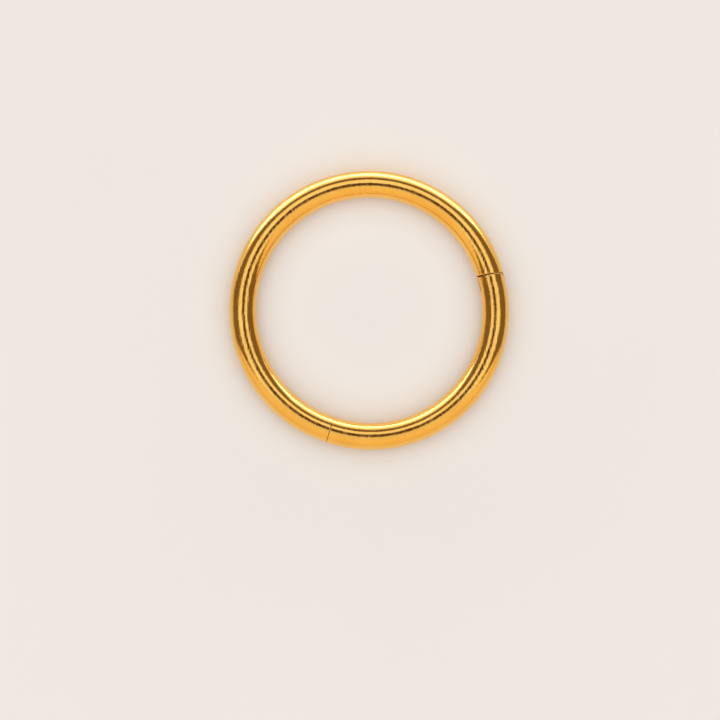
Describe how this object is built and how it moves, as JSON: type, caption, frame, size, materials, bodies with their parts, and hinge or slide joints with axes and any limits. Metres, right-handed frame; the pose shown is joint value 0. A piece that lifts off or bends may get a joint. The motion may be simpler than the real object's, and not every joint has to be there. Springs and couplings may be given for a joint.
{
  "type": "nose ring",
  "caption": "Plain round gold wire ring with a hinged segment that swings open on a flush pin and latches by a blade in a slot.",
  "frame": {"origin": "middle of the ring's box, on the surface that the ring lies on", "axes": "+Z along the ring's axis, up from that surface; +X towards the hinge side, with the opening segment at +X and -Y"},
  "size_m": [0.0124, 0.0124, 0.0012],
  "materials": {
    "gold": "mirror polished gold colour with fine hairline scratches"
  },
  "bodies": {
    "ring": {"ring_body": "gold"},
    "segment": {"hinged_segment": "gold", "hinge_pin": "gold"}
  },
  "joints": [
    {"name": "segment_hinge", "type": "hinge", "parent": "ring", "child": "segment", "pos_m": [0.00572, 0.0013, 0.0006], "axis": [0, 0, 1], "range_deg": [0, 90]}
  ]
}
